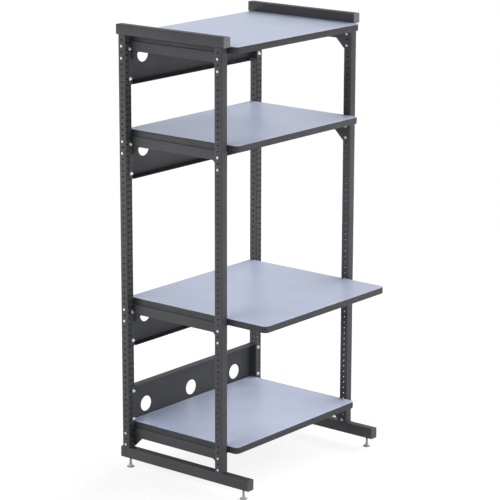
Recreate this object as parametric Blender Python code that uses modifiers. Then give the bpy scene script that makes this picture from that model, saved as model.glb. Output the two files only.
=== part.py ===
"""Open four-post server rack with four laminate shelves on a levelling base.

Metres, +Z up, front towards -Y, left at -X. The floor is z = 0, and the origin lies under the middle of
the rack's outer box. Every place below follows from the driving dimensions.
"""

import math

import bmesh
import bpy
from mathutils import Matrix, Vector

# Fit
GAP = 0.0003  # between two pieces that bear on each other
RUN_CLEAR = 0.0006  # round a stem that turns in its bore
CUT_OVER = 0.002  # how far a drill passes each face of the sheet or wall it cuts
SAME_POINT = 1e-5  # points nearer than this are merged

# Posts: square tube, drilled on a 25.4 mm pitch
FRAME_WIDTH = 0.9144  # over the outer faces of the posts
POST_SPACING = 0.523  # front to rear centre line
POST_WIDTH = 0.0381
POST_DEPTH = 0.0381
POST_WALL = 0.002
POST_LENGTH = 1.8125
HOLE_PITCH = 0.0254
FIRST_HOLE = 0.0132  # above the post's foot
LAST_HOLE_EDGE = 0.010  # least length of post above the top hole
HOLE_DIAMETER = 0.009
HOLE_SIDES = 6

# Base and top rails: rectangular tube with end caps
FOOT_HEIGHT = 0.0452  # floor to the base rail's underside
BASE_RAIL_WIDTH = 0.0381
BASE_RAIL_HEIGHT = 0.0475
BASE_FRONT_OVERHANG = 0.1427  # ahead of the front posts
BASE_REAR_OVERHANG = 0.0113
TOP_RAIL_WIDTH = 0.0381
TOP_RAIL_HEIGHT = 0.0432
TOP_FRONT_OVERHANG = 0.0156
TOP_REAR_OVERHANG = 0.0127
RAIL_WALL = 0.0025
CAP_THICKNESS = 0.003
CAP_PLUG_DEPTH = 0.012

# Plugs that locate the posts on the rails
PLUG_HEIGHT = 0.008
SPIGOT_DIAMETER = 0.012
SPIGOT_LENGTH = 0.006

# Shelves: laminate board with a dark edge band
SHELF_THICKNESS = 0.0286
SHELF_SIDE_GAP = 0.0006  # shelf edge to the rear panels' cheeks
SHELF_REAR_SETBACK = 0.008  # from the posts' rear faces
SHELF_OVERHANG = 0.0499  # ahead of the front posts
WORK_OVERHANG = 0.2035
SHELF_CORNER_RADIUS = 0.022
EDGE_BAND = 0.0025
CORNER_STEPS = 6
LOWER_SHELF_HOLES = {"bottom": 0, "work": 22, "upper": 51}  # hole of the bracket's lower bolt, counted up
TOP_SHELF_HOLES_DOWN = 3  # holes left above the top shelf's lower bolt
SHELF_ABOVE_BOLT = 3.955  # hole pitches from that bolt to the shelf's top
BOLT_STEP = 2  # hole pitches between a bracket's two bolts

# Shelf brackets: sheet steel angle with an ear on each post
BRACKET_SHEET = 0.002
BRACKET_FLANGE = 0.030  # under the shelf
BRACKET_DROP = 0.0727  # shelf top to the lower edge of the web
EAR_BELOW_BOLT = 0.0127  # lower bolt to the foot of an ear
BRACKET_END_INSET = 0.003  # short of the posts' front and rear faces

# Rear panels: sheet steel pans between the rear posts
PANEL_SHEET = 0.0015
PANEL_HEIGHT = 0.1715
PANEL_BELOW_SCREW = 0.0266  # a tab's lower screw to the panel's lower edge
PANEL_SCREW_STEP = 5  # hole pitches between a tab's two screws
UPPER_PANEL_HOLE = -3.5  # its lower screw, in hole pitches from its shelf's lower bolt
BOTTOM_PANEL_HOLE = 4.5
PANEL_CORNER_RELIEF = 0.008
TAB_WIDTH = 0.019
TAB_SCREW_INSET = 0.0105  # from the post's inner face
EAR_CLEAR = 0.003  # round a bracket's ear
CABLE_HOLE_DIAMETER = 0.068
CABLE_HOLE_SPACING = 0.3048
CABLE_HOLE_EDGE = 0.113  # hole centre to the panel's flanged edge
CABLE_HOLE_SIDES = 16

# Levelling feet
FOOT_END_DISTANCE = 0.039  # stem to the base rail's end
STEM_DIAMETER = 0.0095
STEM_INTO_RAIL = 0.018
STEM_SIDES = 12
PAD_DIAMETER = 0.034
PAD_RIM = 0.004
PAD_HEIGHT = 0.009
PAD_HUB_DIAMETER = 0.016
PAD_SOCKET_DEPTH = 0.004
PAD_SIDES = 20
WELD_NUT_DIAMETER = 0.018
WELD_NUT_HEIGHT = 0.009

# Finishes: base colour, metallic, roughness
FINISHES = {
    "frame_paint": ((0.10, 0.10, 0.11), 0.0, 0.5),
    "cap_plastic": ((0.16, 0.16, 0.17), 0.0, 0.55),
    "plug_plastic": ((0.03, 0.03, 0.03), 0.0, 0.6),
    "laminate": ((0.50, 0.54, 0.68), 0.0, 0.4),
    "edge_band": ((0.055, 0.055, 0.065), 0.0, 0.5),
    "zinc": ((0.62, 0.62, 0.60), 1.0, 0.35),
}

# Places that follow from the sizes
POST_X = FRAME_WIDTH / 2 - POST_WIDTH / 2
INNER_X = FRAME_WIDTH / 2 - POST_WIDTH
FRONT_OVERHANGS = (WORK_OVERHANG, SHELF_OVERHANG, BASE_FRONT_OVERHANG, TOP_FRONT_OVERHANG)
FRONT_REACH = POST_DEPTH / 2 + max(FRONT_OVERHANGS)
REAR_REACH = POST_DEPTH / 2 + max(BASE_REAR_OVERHANG, TOP_REAR_OVERHANG)
FRONT_POST_Y = (FRONT_REACH - REAR_REACH - POST_SPACING) / 2
REAR_POST_Y = FRONT_POST_Y + POST_SPACING
FRONT_FACE_Y = FRONT_POST_Y - POST_DEPTH / 2
REAR_FACE_Y = REAR_POST_Y + POST_DEPTH / 2
BASE_TOP_Z = FOOT_HEIGHT + BASE_RAIL_HEIGHT
POST_FOOT_Z = BASE_TOP_Z + GAP
POST_HEAD_Z = POST_FOOT_Z + POST_LENGTH
TOP_RAIL_Z = POST_HEAD_Z + GAP
TAB_FRONT_Y = REAR_POST_Y - POST_DEPTH / 2 - GAP - PANEL_SHEET
EAR_DROP = SHELF_ABOVE_BOLT * HOLE_PITCH + EAR_BELOW_BOLT
HOLE_COUNT = 1 + int((POST_LENGTH - FIRST_HOLE - LAST_HOLE_EDGE) / HOLE_PITCH)
SHELF_HOLES = LOWER_SHELF_HOLES | {"top": HOLE_COUNT - 1 - TOP_SHELF_HOLES_DOWN}

SIDES = {"left": -1, "right": 1}
UPPER_SHELVES = ("work", "upper", "top")

# Local x, y and z of an outline laid on each plane, as columns
ON_FLOOR = Matrix.Identity(4)
ON_SIDE = Matrix(((0, 0, 1, 0), (1, 0, 0, 0), (0, 1, 0, 0), (0, 0, 0, 1)))  # y, z, then x
ON_FRONT = Matrix(((1, 0, 0, 0), (0, 0, -1, 0), (0, 1, 0, 0), (0, 0, 0, 1)))  # x, z, then -y


def hole_z(index):
    return POST_FOOT_Z + FIRST_HOLE + index * HOLE_PITCH


def shelf_top(shelf):
    return hole_z(SHELF_HOLES[shelf] + SHELF_ABOVE_BOLT)


def bracket_hole_heights(shelf):
    """An ear's holes: the two bolts' and those between them."""
    lower = SHELF_HOLES[shelf]
    return [hole_z(index) for index in range(lower, lower + BOLT_STEP + 1)]


def panel_screw_heights(shelf):
    start = UPPER_PANEL_HOLE if shelf in UPPER_SHELVES else BOTTOM_PANEL_HOLE
    return [hole_z(SHELF_HOLES[shelf] + start + step) for step in (0, PANEL_SCREW_STEP)]


def panel_heights(shelf):
    """The heights of the plain edge and the flanged edge, and the direction from the first to the second."""
    low = panel_screw_heights(shelf)[0] - PANEL_BELOW_SCREW
    high = low + PANEL_HEIGHT
    return (high, low, -1) if shelf in UPPER_SHELVES else (low, high, 1)


def clear_scene():
    for obj in list(bpy.data.objects):
        bpy.data.objects.remove(obj, do_unlink=True)


def new_collection(name, hidden):
    collection = bpy.data.collections.new(name)
    collection.hide_render = hidden
    bpy.context.scene.collection.children.link(collection)
    return collection


def finish(name):
    material = bpy.data.materials.get(name)
    if material is None:
        colour, metallic, roughness = FINISHES[name]
        material = bpy.data.materials.new(name)
        material.use_nodes = True
        shader = material.node_tree.nodes["Principled BSDF"]
        shader.inputs["Base Color"].default_value = (*colour, 1)
        shader.inputs["Metallic"].default_value = metallic
        shader.inputs["Roughness"].default_value = roughness
    return material


def add_part(name, mesh, material, matrix=ON_FLOOR):
    obj = bpy.data.objects.new(name, mesh)
    parts.objects.link(obj)
    obj.parent = rack
    obj.matrix_world = matrix
    mesh.materials.append(finish(material))
    return obj


def boolean(obj, suffix, mesh, operation):
    """Cuts the mesh from the object, or joins it on, through a hidden helper."""
    helper = bpy.data.objects.new(f"{obj.name}_{suffix}", mesh)
    cutters.objects.link(helper)
    helper.hide_render = True
    helper.display_type = "WIRE"
    modifier = obj.modifiers.new(suffix, "BOOLEAN")
    modifier.operation = operation
    modifier.solver = "EXACT"
    modifier.object = helper


def bmesh_to_mesh(bm, name):
    mesh = bpy.data.meshes.new(name)
    bm.to_mesh(mesh)
    bm.free()
    return mesh


def boxes_mesh(boxes):
    """One mesh of boxes, each given by its lowest and highest corners."""
    bm = bmesh.new()
    for low, high in boxes:
        size = Vector(high) - Vector(low)
        centre = (Vector(high) + Vector(low)) / 2
        place = Matrix.Translation(centre) @ Matrix.Diagonal((*size, 1))
        bmesh.ops.create_cube(bm, size=1, matrix=place)
    return bmesh_to_mesh(bm, "boxes")


def bars_mesh(bars, sides):
    """One mesh of round bars, each given by its centre, axis, diameter and length."""
    bm = bmesh.new()
    for centre, axis, diameter, length in bars:
        turn = Vector((0, 0, 1)).rotation_difference(Vector(axis)).to_matrix().to_4x4()
        bmesh.ops.create_cone(
            bm,
            cap_ends=True,
            segments=sides,
            radius1=diameter / 2,
            radius2=diameter / 2,
            depth=length,
            matrix=Matrix.Translation(centre) @ turn,
        )
    return bmesh_to_mesh(bm, "bars")


def outline_mesh(name, loops, thickness):
    """A flat outline, with any inner loops as holes, thickened evenly about its plane."""
    curve = bpy.data.curves.new(name, "CURVE")
    curve.dimensions = "2D"
    curve.fill_mode = "BOTH"
    curve.extrude = thickness / 2
    for loop in loops:
        spline = curve.splines.new("POLY")
        spline.points.add(len(loop) - 1)
        for point, (x, y) in zip(spline.points, loop):
            point.co = (x, y, 0, 1)
        spline.use_cyclic_u = True
    drawing = bpy.data.objects.new(name, curve)
    bpy.context.scene.collection.objects.link(drawing)
    graph = bpy.context.evaluated_depsgraph_get()
    mesh = bpy.data.meshes.new_from_object(drawing.evaluated_get(graph))
    bpy.data.objects.remove(drawing, do_unlink=True)
    bm = bmesh.new()
    bm.from_mesh(mesh)
    bmesh.ops.remove_doubles(bm, verts=bm.verts, dist=SAME_POINT)
    bmesh.ops.recalc_face_normals(bm, faces=bm.faces)
    bm.to_mesh(mesh)
    bm.free()
    return mesh


def turned_part(name, profile, sides, material, matrix):
    """A profile of (radius, height), listed down its outer side, turned about its own z axis."""
    bm = bmesh.new()
    points = [bm.verts.new((radius, 0, height)) for radius, height in profile]
    for first, second in zip(points, points[1:]):
        bm.edges.new((first, second))
    obj = add_part(name, bmesh_to_mesh(bm, name), material, matrix)
    screw = obj.modifiers.new("turn", "SCREW")
    screw.steps = sides
    screw.render_steps = sides
    screw.use_merge_vertices = True
    screw.merge_threshold = SAME_POINT
    return obj


def rectangle(width, height):
    x = width / 2
    y = height / 2
    return [(-x, -y), (x, -y), (x, y), (-x, y)]


def circle(diameter, sides, centre):
    radius = diameter / 2
    angles = (2 * math.pi * (step + 0.5) / sides for step in range(sides))
    return [(centre[0] + radius * math.cos(a), centre[1] + radius * math.sin(a)) for a in angles]


def tube_loops(width, height, wall):
    return [rectangle(width, height), rectangle(width - 2 * wall, height - 2 * wall)]


def make_posts():
    """Each post's outer side is drilled all the way up, and its other walls where a piece is bolted on."""
    drill_length = POST_WALL + 2 * CUT_OVER
    for side, way in SIDES.items():
        for end, y in (("front", FRONT_POST_Y), ("rear", REAR_POST_Y)):
            name = f"post_{end}_{side}"
            place = Matrix.Translation((way * POST_X, y, POST_FOOT_Z + POST_LENGTH / 2))
            mesh = outline_mesh(name, tube_loops(POST_WIDTH, POST_DEPTH, POST_WALL), POST_LENGTH)
            post = add_part(name, mesh, "frame_paint", place)
            outer_wall = way * (FRAME_WIDTH / 2 - POST_WALL / 2)
            inner_wall = way * (INNER_X + POST_WALL / 2)
            holes = [((outer_wall, y, hole_z(index)), (1, 0, 0)) for index in range(HOLE_COUNT)]
            for shelf in SHELF_HOLES:
                holes += [((inner_wall, y, z), (1, 0, 0)) for z in bracket_hole_heights(shelf)]
                if end == "rear":
                    front_wall = y - POST_DEPTH / 2 + POST_WALL / 2
                    tab_x = way * (INNER_X + TAB_SCREW_INSET)
                    holes += [((tab_x, front_wall, z), (0, 1, 0)) for z in panel_screw_heights(shelf)]
            drills = [(centre, axis, HOLE_DIAMETER, drill_length) for centre, axis in holes]
            boolean(post, "holes", bars_mesh(drills, HOLE_SIDES), "DIFFERENCE")


def make_rail(level, side, x, centre_z, size, front_y, rear_y):
    """A rail of rectangular tube, its two end caps, and the plugs that locate the posts on it."""
    name = f"{level}_rail_{side}"
    width, height = size
    tube_front = front_y + CAP_THICKNESS + GAP
    tube_rear = rear_y - CAP_THICKNESS - GAP
    length = tube_rear - tube_front
    place = Matrix.Translation((x, (tube_front + tube_rear) / 2, centre_z)) @ ON_FRONT
    tube = outline_mesh(name, tube_loops(width, height, RAIL_WALL), length)
    rail = add_part(name, tube, "frame_paint", place)
    for end, tip, inward in (("front", front_y, 1), ("rear", rear_y, -1)):
        make_cap(f"{level}_cap_{end}_{side}", x, centre_z, width, height, tip, inward)
    way = 1 if level == "base" else -1
    face_z = centre_z + way * height / 2
    wall_z = face_z - way * RAIL_WALL / 2
    bore = SPIGOT_DIAMETER + 2 * RUN_CLEAR
    bores = []
    for end, y in (("front", FRONT_POST_Y), ("rear", REAR_POST_Y)):
        make_plug(f"{level}_plug_{end}_{side}", x, y, face_z, way)
        bores.append(((x, y, wall_z), (0, 0, 1), bore, RAIL_WALL + 2 * CUT_OVER))
    boolean(rail, "bores", bars_mesh(bores, STEM_SIDES), "DIFFERENCE")
    return rail


def make_cap(name, x, z, width, height, tip_y, inward):
    """An end cap: a plate over the tube's end, and a plug inside it."""
    plate_back = tip_y + inward * CAP_THICKNESS
    plug_back = plate_back + inward * CAP_PLUG_DEPTH
    plug_width = width - 2 * (RAIL_WALL + GAP)
    plug_height = height - 2 * (RAIL_WALL + GAP)
    plate = boxes_mesh([box_about(x, z, width, height, tip_y, plate_back)])
    plug = boxes_mesh([box_about(x, z, plug_width, plug_height, tip_y + inward * GAP, plug_back)])
    cap = add_part(name, plate, "cap_plastic")
    boolean(cap, "plug", plug, "UNION")


def box_about(x, z, width, height, first_y, second_y):
    low = (x - width / 2, min(first_y, second_y), z - height / 2)
    high = (x + width / 2, max(first_y, second_y), z + height / 2)
    return low, high


def make_plug(name, x, y, face_z, way):
    """A plug in the post's end, with a spigot through the rail's wall."""
    size = Vector((POST_WIDTH, POST_DEPTH, 0)) - Vector((1, 1, 0)) * 2 * (POST_WALL + GAP)
    near, far = sorted((face_z + way * GAP, face_z + way * PLUG_HEIGHT))
    low = (x - size.x / 2, y - size.y / 2, near)
    high = (x + size.x / 2, y + size.y / 2, far)
    plug = add_part(name, boxes_mesh([(low, high)]), "plug_plastic")
    bottom, top = sorted((face_z - way * SPIGOT_LENGTH, face_z + way * PLUG_HEIGHT / 2))
    spigot = ((x, y, (bottom + top) / 2), (0, 0, 1), SPIGOT_DIAMETER, top - bottom)
    boolean(plug, "spigot", bars_mesh([spigot], STEM_SIDES), "UNION")


def make_rails():
    base_size = (BASE_RAIL_WIDTH, BASE_RAIL_HEIGHT)
    base_front = FRONT_FACE_Y - BASE_FRONT_OVERHANG
    base_rear = REAR_FACE_Y + BASE_REAR_OVERHANG
    base_z = FOOT_HEIGHT + BASE_RAIL_HEIGHT / 2
    top_size = (TOP_RAIL_WIDTH, TOP_RAIL_HEIGHT)
    top_front = FRONT_FACE_Y - TOP_FRONT_OVERHANG
    top_rear = REAR_FACE_Y + TOP_REAR_OVERHANG
    top_z = TOP_RAIL_Z + TOP_RAIL_HEIGHT / 2
    for side, way in SIDES.items():
        x = way * POST_X
        base = make_rail("base", side, x, base_z, base_size, base_front, base_rear)
        make_feet(base, side, x, base_front + FOOT_END_DISTANCE, base_rear - FOOT_END_DISTANCE)
        make_rail("top", side, x, top_z, top_size, top_front, top_rear)


def make_feet(rail, side, x, front_y, rear_y):
    """Weld nuts in the base rail, and the pad and stem of each foot."""
    bore = STEM_DIAMETER + 2 * RUN_CLEAR
    nut_low = FOOT_HEIGHT + RAIL_WALL / 2
    nut_high = FOOT_HEIGHT + RAIL_WALL + WELD_NUT_HEIGHT
    stem_low = PAD_HEIGHT - PAD_SOCKET_DEPTH + GAP
    stem_high = FOOT_HEIGHT + STEM_INTO_RAIL
    stem_length = stem_high - stem_low
    stem_radius = STEM_DIAMETER / 2
    stem_profile = [(0, stem_length), (stem_radius, stem_length), (stem_radius, 0), (0, 0)]
    bore_low = FOOT_HEIGHT - CUT_OVER
    bore_high = nut_high + CUT_OVER
    weld_nuts = []
    bores = []
    for end, y in (("front", front_y), ("rear", rear_y)):
        weld_nuts.append(((x, y, (nut_low + nut_high) / 2), (0, 0, 1), WELD_NUT_DIAMETER, nut_high - nut_low))
        bores.append(((x, y, (bore_low + bore_high) / 2), (0, 0, 1), bore, bore_high - bore_low))
        make_pad(f"foot_pad_{end}_{side}", x, y)
        stem_place = Matrix.Translation((x, y, stem_low))
        turned_part(f"foot_stem_{end}_{side}", stem_profile, STEM_SIDES, "zinc", stem_place)
    boolean(rail, "weld_nuts", bars_mesh(weld_nuts, STEM_SIDES), "UNION")
    boolean(rail, "stem_bores", bars_mesh(bores, STEM_SIDES), "DIFFERENCE")


def make_pad(name, x, y):
    socket = STEM_DIAMETER / 2 + RUN_CLEAR
    floor = PAD_HEIGHT - PAD_SOCKET_DEPTH
    profile = [
        (0, floor),
        (socket, floor),
        (socket, PAD_HEIGHT),
        (PAD_HUB_DIAMETER / 2, PAD_HEIGHT),
        (PAD_DIAMETER / 2, PAD_RIM),
        (PAD_DIAMETER / 2, 0),
        (0, 0),
    ]
    turned_part(name, profile, PAD_SIDES, "zinc", Matrix.Translation((x, y, 0)))


def shelf_loop(front_y, rear_y, inset):
    """A shelf's outline, inset from its edge, with round front corners."""
    half = INNER_X - GAP - PANEL_SHEET - SHELF_SIDE_GAP - inset
    radius = SHELF_CORNER_RADIUS - inset
    front = front_y + inset
    rear = rear_y - inset
    loop = [(half, rear), (-half, rear)]
    for centre_x, start in ((-half + radius, math.pi), (half - radius, 1.5 * math.pi)):
        for step in range(CORNER_STEPS + 1):
            angle = start + step / CORNER_STEPS * math.pi / 2
            loop.append((centre_x + radius * math.cos(angle), front + radius + radius * math.sin(angle)))
    return loop


def make_shelves():
    for shelf in SHELF_HOLES:
        overhang = WORK_OVERHANG if shelf == "work" else SHELF_OVERHANG
        front = FRONT_FACE_Y - overhang
        rear = REAR_FACE_Y - SHELF_REAR_SETBACK
        place = Matrix.Translation((0, 0, shelf_top(shelf) - SHELF_THICKNESS / 2))
        board = outline_mesh(f"shelf_{shelf}", [shelf_loop(front, rear, EDGE_BAND + GAP)], SHELF_THICKNESS)
        add_part(f"shelf_{shelf}", board, "laminate", place)
        band_loops = [shelf_loop(front, rear, 0), shelf_loop(front, rear, EDGE_BAND)]
        band = outline_mesh(f"shelf_{shelf}_edge", band_loops, SHELF_THICKNESS)
        add_part(f"shelf_{shelf}_edge", band, "edge_band", place)


def make_brackets():
    """An angle under each shelf end, with an ear bolted to each post's inner face."""
    front = FRONT_FACE_Y + BRACKET_END_INSET
    rear = REAR_FACE_Y - BRACKET_END_INSET
    ear_front = FRONT_FACE_Y + POST_DEPTH
    ear_rear = REAR_FACE_Y - POST_DEPTH
    slope = EAR_DROP - BRACKET_DROP
    for shelf in SHELF_HOLES:
        top = shelf_top(shelf)
        seat = top - SHELF_THICKNESS - GAP
        outline = [
            (front, seat),
            (front, top - EAR_DROP),
            (ear_front, top - EAR_DROP),
            (ear_front + slope, top - BRACKET_DROP),
            (ear_rear - slope, top - BRACKET_DROP),
            (ear_rear, top - EAR_DROP),
            (rear, top - EAR_DROP),
            (rear, seat),
        ]
        holes = [
            circle(HOLE_DIAMETER, HOLE_SIDES, (y, z))
            for y in (FRONT_POST_Y, REAR_POST_Y)
            for z in bracket_hole_heights(shelf)
        ]
        for side, way in SIDES.items():
            name = f"bracket_{shelf}_{side}"
            outer = INNER_X - GAP
            place = Matrix.Translation((way * (outer - BRACKET_SHEET / 2), 0, 0)) @ ON_SIDE
            web = outline_mesh(name, [outline, *holes], BRACKET_SHEET)
            bracket = add_part(name, web, "frame_paint", place)
            near, far = sorted((way * (outer - BRACKET_SHEET / 2), way * (outer - BRACKET_FLANGE)))
            flange = ((near, front + GAP, seat - GAP - BRACKET_SHEET), (far, rear - GAP, seat - GAP))
            boolean(bracket, "flange", boxes_mesh([flange]), "UNION")


def panel_section(half):
    """A panel's plan: tabs on the posts' front faces, cheeks along their inner faces, and the web behind."""
    tab_end = INNER_X + TAB_WIDTH
    inside = half - PANEL_SHEET
    right = [
        (inside, REAR_FACE_Y - PANEL_SHEET),
        (inside, TAB_FRONT_Y),
        (tab_end, TAB_FRONT_Y),
        (tab_end, TAB_FRONT_Y + PANEL_SHEET),
        (half, TAB_FRONT_Y + PANEL_SHEET),
        (half, REAR_FACE_Y),
    ]
    return right + [(-x, y) for x, y in reversed(right)]


def make_panels():
    """Pans behind the shelves: a web with cable holes, a flange as deep as the pan, and tabs on the rear posts."""
    half = INNER_X - GAP
    for shelf in SHELF_HOLES:
        edge, far, way = panel_heights(shelf)
        name = f"rear_panel_{shelf}"
        place = Matrix.Translation((0, 0, (edge + far) / 2))
        panel = add_part(name, outline_mesh(name, [panel_section(half)], PANEL_HEIGHT), "frame_paint", place)

        flange_half = half - PANEL_SHEET - PANEL_CORNER_RELIEF
        low, high = sorted((far - way * GAP, far - way * (GAP + PANEL_SHEET)))
        web_y = REAR_FACE_Y - PANEL_SHEET / 2
        flange = ((-flange_half, TAB_FRONT_Y, low), (flange_half, web_y, high))
        boolean(panel, "flange", boxes_mesh([flange]), "UNION")

        if shelf in UPPER_SHELVES:
            boolean(panel, "notches", boxes_mesh(panel_notches(shelf, edge, half)), "DIFFERENCE")

        drill_length = PANEL_SHEET + 2 * CUT_OVER
        cable_z = far - way * CABLE_HOLE_EDGE
        cable_holes = [
            ((step * CABLE_HOLE_SPACING, web_y, cable_z), (0, 1, 0), CABLE_HOLE_DIAMETER, drill_length)
            for step in (-1, 0, 1)
        ]
        boolean(panel, "cable_holes", bars_mesh(cable_holes, CABLE_HOLE_SIDES), "DIFFERENCE")

        tab_y = TAB_FRONT_Y + PANEL_SHEET / 2
        screw_holes = [
            ((side * (INNER_X + TAB_SCREW_INSET), tab_y, z), (0, 1, 0), HOLE_DIAMETER, drill_length)
            for side in SIDES.values()
            for z in panel_screw_heights(shelf)
        ]
        boolean(panel, "screw_holes", bars_mesh(screw_holes, HOLE_SIDES), "DIFFERENCE")


def panel_notches(shelf, edge, half):
    """Room in both cheeks for the ears of the shelf's brackets."""
    foot = shelf_top(shelf) - EAR_DROP - EAR_CLEAR
    back = REAR_FACE_Y - BRACKET_END_INSET + GAP
    boxes = []
    for side in SIDES.values():
        near, far = sorted((side * (half - PANEL_SHEET - EAR_CLEAR), side * (INNER_X + GAP)))
        boxes.append(((near, TAB_FRONT_Y - EAR_CLEAR, foot), (far, back, edge + EAR_CLEAR)))
    return boxes


clear_scene()
parts = new_collection("server_rack", False)
cutters = new_collection("server_rack_cutters", True)
rack = bpy.data.objects.new("rack", None)
parts.objects.link(rack)
make_posts()
make_rails()
make_shelves()
make_brackets()
make_panels()
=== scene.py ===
"""Looks of the open four-post server rack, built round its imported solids.

Metres, +Z up, front towards -Y, left at -X. Places come from the solids' boxes; the sizes below are those
that the boxes don't give.
"""

import math

import bmesh
import bpy
from mathutils import Matrix, Vector


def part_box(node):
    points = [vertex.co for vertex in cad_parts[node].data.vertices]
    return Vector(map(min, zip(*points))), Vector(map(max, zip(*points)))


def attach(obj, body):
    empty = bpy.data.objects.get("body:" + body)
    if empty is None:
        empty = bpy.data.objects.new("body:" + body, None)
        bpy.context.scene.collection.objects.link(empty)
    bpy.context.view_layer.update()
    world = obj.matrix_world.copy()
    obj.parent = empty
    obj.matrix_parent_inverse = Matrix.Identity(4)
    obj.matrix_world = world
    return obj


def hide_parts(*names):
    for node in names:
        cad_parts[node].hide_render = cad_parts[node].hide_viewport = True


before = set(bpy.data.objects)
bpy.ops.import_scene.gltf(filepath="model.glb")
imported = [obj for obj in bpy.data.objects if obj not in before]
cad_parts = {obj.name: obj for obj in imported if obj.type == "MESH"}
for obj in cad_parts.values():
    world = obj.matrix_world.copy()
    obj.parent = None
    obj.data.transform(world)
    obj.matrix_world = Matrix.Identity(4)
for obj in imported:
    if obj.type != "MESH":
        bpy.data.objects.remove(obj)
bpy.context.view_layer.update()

# Camera, fitted to the photograph
CAMERA_AIM = Vector((0.03837, 0.06556, 0.93064))
CAMERA_DISTANCE = 9.9653
CAMERA_AZIMUTH = math.radians(50.9707)  # from straight ahead towards the rack's left
CAMERA_ELEVATION = math.radians(14.2235)
CAMERA_ROLL = math.radians(0.141)
CAMERA_LENS = 164.61  # mm, on Blender's 36 mm sensor

# Fit
PIECE_GAP = 0.0003  # between two pieces that bear on each other
OVERCUT = 0.004  # how far a cutter passes the faces it cuts

# Posts
POST_WALL = 0.002
POST_CORNER = 0.003  # outer radius
INNER_CORNER = 0.25  # least inner radius of any tube's corners, in walls
HOLE_PITCH = 0.0254
FIRST_HOLE = 0.0132  # above the post's foot
LAST_HOLE_EDGE = 0.010  # least length of post above the top hole
HOLE_DIAMETER = 0.0085
COLUMN_INSET = 0.0105  # either hole column of the inward face to the post's side
COLUMN_START = 0.5  # pitches that these columns are raised by

# Rails and caps
RAIL_WALL = 0.0025
RAIL_CORNER = 0.003
CAP_EDGE = 0.0012  # rounding of a cap's face
CAP_PLUG_STEP = 0.0002  # plug to the tube's inner wall
CAP_PLUG_CORNER = 0.0015
SPIGOT_BORE = 0.0132  # for the posts' plugs
WELD_NUT_DIAMETER = 0.018
WELD_NUT_HEIGHT = 0.009
WELD_NUT_CHAMFER = 0.0006

# Shelves
SHELF_CORNER_RADIUS = 0.022
EDGE_BAND = 0.0025
BAND_ROUND = 0.0016
BAND_CROWN = 0.0003
LAMINATE_SHEET = 0.0008
LAMINATE_INSET = 0.0016  # shelf edge to the sheet, which covers the band's top
LAMINATE_EASE = 0.0002
SHELF_ABOVE_BOLT = 3.955  # hole pitches from a bracket's lower bolt to the shelf's top
BOLT_STEP = 2  # hole pitches between a bracket's two bolts

# Sheet steel
BRACKET_SHEET = 0.002
BRACKET_BEND = 0.002  # radius of the sheet's middle line
BRACKET_DROP = 0.0727  # shelf top to the lower edge of the web
EAR_CORNER = 0.003
SLOPE_CORNER = 0.010  # where an ear's slope meets the web
PANEL_SHEET = 0.0015
PANEL_BEND = 0.0018
PANEL_CORNER_RELIEF = 0.008
PANEL_BELOW_SCREW = 0.0266  # a tab's lower screw to the panel's lower edge
PANEL_SCREW_STEP = 5  # hole pitches between a tab's two screws
EAR_CLEAR = 0.003
CABLE_HOLE_DIAMETER = 0.068
CABLE_HOLE_SPACING = 0.3048
CABLE_HOLE_EDGE = 0.113  # hole centre to the panel's flanged edge
SEAM = 0.00003  # how far a joined strip stays inside the sheet's faces

# Fasteners
BOLT_DIAMETER = 0.0064
BOLT_ACROSS_FLATS = 0.0104
BOLT_HEAD = 0.0036
BOLT_TAIL = 0.003  # thread left past the nut
THREAD_PITCH = 0.00125
THREAD_DEPTH = 0.0006
NUT_HEIGHT = 0.0056
NUT_CHAMFER = 0.1  # of a nut's bore, as a share of it
SCREW_ACROSS_FLATS = 0.011
SCREW_HEAD = 0.0052
SCREW_DIAMETER = 0.006
SCREW_LENGTH = 0.012
SCREW_CLEAR = 0.0005  # a hole's diameter over its screw's
WASHER_DIAMETER = 0.0155
WASHER_SHEET = 0.0012
WASHER_EASE = 0.0003
HEX_TOP = 0.95  # flat top of a head, as a share of its width across flats
HEX_SLOPE = math.tan(math.radians(30))

# Feet
STEM_DIAMETER = 0.0104
STEM_PITCH = 0.0015
STEM_THREAD = 0.0007
PAD_SOCKET = 0.0054  # radius round the stem, in the pad, the rail and its weld nut
PAD_RIM = 0.0042  # height of the disc's edge
PAD_EDGE = 0.0014  # rounding of that edge
PAD_HUB = 0.0066  # radius of the hub's top
PAD_HUB_TOP = 0.017  # above the pad's underside
HUB_EDGE = 0.0007

# Facets
ARC_STEPS = 5
CORNER_STEPS = 14
HOLE_SIDES = 14
ROUND_SIDES = 36
CABLE_HOLE_SIDES = 72
THREAD_SIDES = 24
THREAD_ROWS = 6  # rows of points to a turn of thread
SMOOTH_ANGLE = math.radians(35)

# Light: each lamp's heading is degrees from the front towards the rack's left, and its strength is the
# share of white that it gives to a surface facing it
SUNS = {
    "right_light": {"heading": -85, "height": 27, "spread": 50, "strength": 0.70},
    "front_light": {"heading": -35, "height": 32, "spread": 40, "strength": 0.24},
    "left_light": {"heading": 106, "height": 26, "spread": 50, "strength": 0.47},
}
STRIPS = {
    "front_strip": {"heading": 0, "strength": 0.46},
    "rear_strip": {"heading": 146, "strength": 0.48},
    "side_strip": {"heading": -80, "strength": 0.22},
}
STRIP_LENGTH = 3.0
STRIP_HEIGHT = 0.4
STRIP_DISTANCE = 3.5
STRIP_CENTRE_Z = 0.6
STRIP_AIM = Vector((0, 0.1, 0.9))
SKY = 0.04
FLOOR_COLOUR = 0.90
FLOOR_SEEN = 0.35  # the part of the floor's seen tone that takes shadows
FLOOR_LIFT = 0.78
FLOOR_SIZE = 80

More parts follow.
